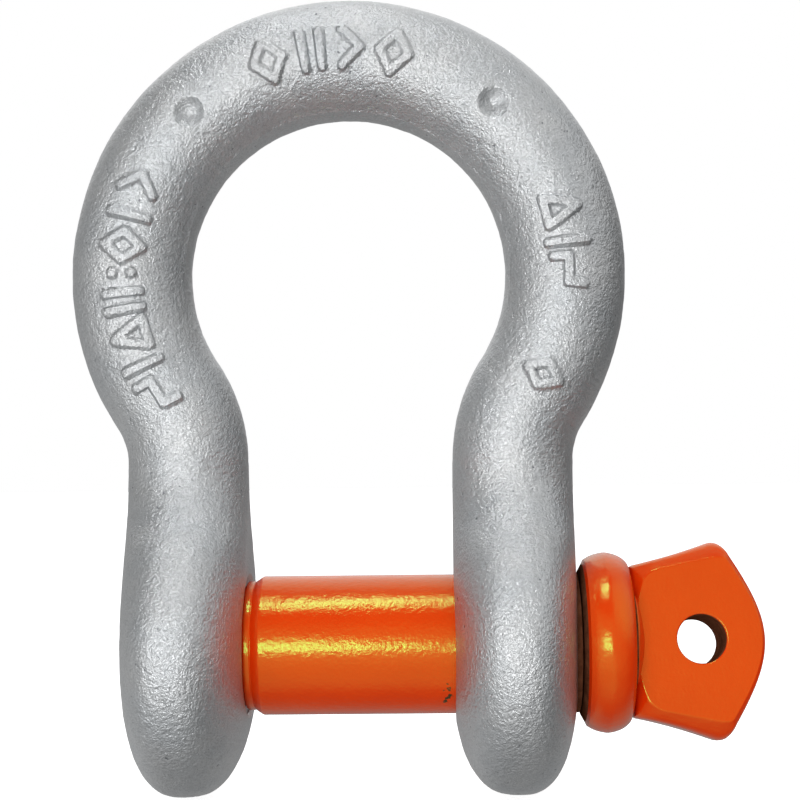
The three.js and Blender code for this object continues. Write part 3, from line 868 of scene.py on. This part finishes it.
def chip_amount(tree, place):
    """1 where the enamel has flaked off beside the jaw, ragged at the edges."""
    ragged = noise_node(tree, place, 900, 2.0, 0.6)
    total = None
    for centre, radius in CHIPS:
        away = tree.nodes.new("ShaderNodeVectorMath")
        away.operation = "DISTANCE"
        tree.links.new(place, away.inputs[0])
        away.inputs[1].default_value = Vector(centre) * MM
        rough_edge = tree.nodes.new("ShaderNodeMath")
        rough_edge.operation = "MULTIPLY_ADD"
        tree.links.new(ragged, rough_edge.inputs[0])
        rough_edge.inputs[1].default_value = CHIP_RAGGED * radius * MM
        tree.links.new(away.outputs["Value"], rough_edge.inputs[2])
        inside = tree.nodes.new("ShaderNodeMapRange")
        tree.links.new(rough_edge.outputs[0], inside.inputs["Value"])
        inside.inputs["From Min"].default_value = CHIP_END * radius * MM
        inside.inputs["From Max"].default_value = CHIP_FULL * radius * MM
        if total is None:
            total = inside.outputs["Result"]
            continue
        both = tree.nodes.new("ShaderNodeMath")
        both.operation = "MAXIMUM"
        tree.links.new(total, both.inputs[0])
        tree.links.new(inside.outputs["Result"], both.inputs[1])
        total = both.outputs[0]
    return total


def enamel():
    """Glossy orange enamel, slightly rippled, chipped to dark metal in a few places."""
    material, tree, shader = new_material("enamel")
    place = tree.nodes.new("ShaderNodeTexCoord").outputs["Object"]
    patches = noise_node(tree, place, 60, 3.0, 0.5)
    paint = ramp(tree, patches, [(0.3, (0.78, 0.032, 0.0008)), (0.7, (0.84, 0.040, 0.0010))])
    colour = blend_colour(tree, "MIX", chip_amount(tree, place), paint, (0.07, 0.026, 0.014, 1))
    tree.links.new(colour, shader.inputs["Base Color"])
    shader.inputs["Roughness"].default_value = 0.2
    shader.inputs["IOR"].default_value = 1.6
    shader.inputs["Specular Tint"].default_value = (0.12, 0.75, 0.12, 1)
    shader.inputs["Specular IOR Level"].default_value = 1.0
    ripple = noise_node(tree, place, 380, 3.0, 0.6)
    wear = noise_node(tree, place, 1500, 3.0, 0.6)
    wide = bump(tree, ripple, 0.8, 0.00012)
    tree.links.new(bump(tree, wear, 0.6, 0.00008, wide), shader.inputs["Normal"])
    return material


def bare_metal_and_shade():
    """Brown oxidised steel where the enamel did not reach, in the eye's hole; the same brown is also
    painted shade on the collar's face towards the ear and at the shank's end.
    """
    material, tree, shader = new_material("bare_metal_and_shade")
    place = tree.nodes.new("ShaderNodeTexCoord").outputs["Object"]
    stains = noise_node(tree, place, 420, 4.0, 0.65)
    colour = ramp(tree, stains, [(0.35, (0.11, 0.036, 0.017)), (0.7, (0.22, 0.082, 0.040))])
    tree.links.new(colour, shader.inputs["Base Color"])
    shader.inputs["Roughness"].default_value = 0.5
    shader.inputs["Specular IOR Level"].default_value = 0.0
    tree.links.new(bump(tree, stains, 0.5, 0.0001), shader.inputs["Normal"])
    return material


# ---------- build ----------

GALVANISED = galvanised()
ENAMEL = enamel()
BARE_METAL_AND_SHADE = bare_metal_and_shade()


def bare_hole_or_shaded_shank(centre):
    """True for a face in the wall of the eye's hole, which is bare metal, or at the end of the shank,
    where the dark brown is painted shade under the collar.
    """
    x, y, z = centre
    across = z * math.cos(EYE_TILT) + y * math.sin(EYE_TILT)
    in_hole = math.hypot(x - EYE_HOLE_X, across) < EYE_HOLE_RADIUS + 0.05
    return in_hole or SHADED_SHANK_X < x < COLLAR_END_X


def painted_shade_towards_ear(centre):
    """True for a face of the collar that looks at the ear, up to where the enamel begins; these get dark
    brown as painted shade for the gap beside the ear.
    """
    return centre[0] < COLLAR_START_X + PAINTED_SHADE_DEPTH


def leave_bare_or_shaded(piece, chosen):
    """Gives the chosen faces of a piece the dark brown as its second material: bare metal in the eye's
    hole, painted shade beside the collar.
    """
    piece.data.materials.append(BARE_METAL_AND_SHADE)
    for face in piece.data.polygons:
        if chosen(face.center / MM):
            face.material_index = 1


def place_piece(piece, body, node, material):
    """Gives a piece its material, and says which body it rides and which node it replaces."""
    piece.data.materials.clear()
    piece.data.materials.append(material)
    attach(piece, body)
    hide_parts(node)


bow_piece = make_bow()
collar_piece = make_collar()
pin_piece = make_pin()
place_piece(bow_piece, "bow", "bow_body", GALVANISED)
place_piece(collar_piece, "collar", "pin_collar", ENAMEL)
place_piece(pin_piece, "pin", "screw_pin", ENAMEL)
# dark brown painted shade on the collar's face towards the ear and at the shank's end; bare metal in the
# eye's hole
leave_bare_or_shaded(collar_piece, painted_shade_towards_ear)
leave_bare_or_shaded(pin_piece, bare_hole_or_shaded_shank)

# ---------- stage and light ----------


def area_light(name, place, aim, size, power):
    """A rectangular light of that width and height, pointed at a place."""
    data = bpy.data.lights.new(name, "AREA")
    data.shape = "RECTANGLE"
    data.size, data.size_y = size[0] * MM, size[1] * MM
    data.energy = power
    light = bpy.data.objects.new(name, data)
    bpy.context.scene.collection.objects.link(light)
    light.location = Vector(place) * MM
    direction = (Vector(aim) - Vector(place)) * MM
    light.rotation_mode = "QUATERNION"
    light.rotation_quaternion = direction.to_track_quat("-Z", "Y")


def direction_of(azimuth, elevation):
    """A direction in the room: azimuth 0 is straight in front of the object, positive to the right."""
    a = math.radians(azimuth)
    e = math.radians(elevation)
    return Vector((math.cos(e) * math.sin(a), -math.cos(e) * math.cos(a), math.sin(e)))


OBJECT_MIDDLE = Vector((0, 0, 45))


def from_angles(azimuth, elevation, distance):
    """The place at that distance from the object's middle."""
    return OBJECT_MIDDLE + direction_of(azimuth, elevation) * distance


# Soft glows of the room: (azimuth, elevation, brightness)
ROOM_GLOWS = [
    (0, -78, 0.11), (-120, -35, 0.45), (-15, -35, 0.53), (30, -35, 0.19), (150, -35, 0.36),
    (-150, 5, 0.24), (-60, 5, 0.58), (-30, 5, 0.36), (0, 5, 0.20), (30, 5, 0.22),
    (-120, 40, 0.16), (30, 40, 0.18), (75, 40, 0.85), (180, 40, 1.03),
]
GLOW_INNER = math.radians(5)     # a glow is full this close to its direction
GLOW_OUTER = math.radians(48)    # and gone this far from it
ROOM_SHADE = 0.07                # the brightness of the room between the glows


def direction_amount(tree, direction, azimuth, elevation):
    """1 towards a direction in the room, falling to 0 away from it."""
    node = tree.nodes.new("ShaderNodeVectorMath")
    node.operation = "DOT_PRODUCT"
    tree.links.new(direction, node.inputs[0])
    node.inputs[1].default_value = direction_of(azimuth, elevation)
    closeness = tree.nodes.new("ShaderNodeMapRange")
    closeness.interpolation_type = "SMOOTHSTEP"
    tree.links.new(node.outputs["Value"], closeness.inputs["Value"])
    closeness.inputs["From Min"].default_value = math.cos(GLOW_OUTER)
    closeness.inputs["From Max"].default_value = math.cos(GLOW_INNER)
    return closeness.outputs["Result"]


def make_world():
    """A room of soft glows that lights the object, and plain white behind it for the camera."""
    world = bpy.data.worlds.new("studio")
    bpy.context.scene.world = world
    world.use_nodes = True
    tree = world.node_tree
    tree.nodes.clear()
    out = tree.nodes.new("ShaderNodeOutputWorld")
    seen = tree.nodes.new("ShaderNodeBackground")
    seen.inputs["Color"].default_value = (1, 1, 1, 1)
    lit = tree.nodes.new("ShaderNodeBackground")
    lit.inputs["Color"].default_value = (1, 1, 1, 1)
    direction = tree.nodes.new("ShaderNodeTexCoord").outputs["Generated"]
    total = ROOM_SHADE
    for azimuth, elevation, brightness in ROOM_GLOWS:
        amount = direction_amount(tree, direction, azimuth, elevation)
        add = tree.nodes.new("ShaderNodeMath")
        add.operation = "MULTIPLY_ADD"
        tree.links.new(amount, add.inputs[0])
        add.inputs[1].default_value = brightness
        if isinstance(total, float):
            add.inputs[2].default_value = total
        else:
            tree.links.new(total, add.inputs[2])
        total = add.outputs[0]
    tree.links.new(total, lit.inputs["Strength"])
    choose = tree.nodes.new("ShaderNodeMixShader")
    tree.links.new(tree.nodes.new("ShaderNodeLightPath").outputs["Is Camera Ray"], choose.inputs[0])
    tree.links.new(lit.outputs[0], choose.inputs[1])
    tree.links.new(seen.outputs[0], choose.inputs[2])
    tree.links.new(choose.outputs[0], out.inputs[0])


FLOOR_HALF = 4000
FLOOR_Z = -EAR_RADIUS - 1.0


def make_floor():
    """A plain pale floor just below the ears."""
    signs = [(-1, -1), (1, -1), (1, 1), (-1, 1)]
    corners = [(x * FLOOR_HALF, y * FLOOR_HALF, FLOOR_Z) for x, y in signs]
    floor = make_mesh("floor", corners, [(0, 1, 2, 3)])
    material, _, shader = new_material("floor")
    shader.inputs["Base Color"].default_value = (0.92, 0.92, 0.92, 1)
    shader.inputs["Roughness"].default_value = 0.9
    shader.inputs["Emission Color"].default_value = (1, 1, 1, 1)
    shader.inputs["Emission Strength"].default_value = 0.75
    floor.data.materials.append(material)
    floor.visible_glossy = False
    floor.visible_diffuse = False


# Lights: (name, azimuth, elevation, distance, aim, size, power)
LIGHTS = [
    ("front", -7.5, -4, 700, (0, 0, 30), (90, 70), 0.5),
    ("front_soft", -15, 0, 720, (0, 0, 30), (190, 210), 1.25),
    ("top", -30, 75, 700, (-10, 0, 0), (120, 250), 1.4),
]

make_world()
make_floor()
for light_name, azimuth, elevation, distance, aim, size, power in LIGHTS:
    area_light(light_name, from_angles(azimuth, elevation, distance), aim, size, power)
bpy.context.scene.view_settings.view_transform = "Standard"
bpy.context.scene.view_settings.look = "None"
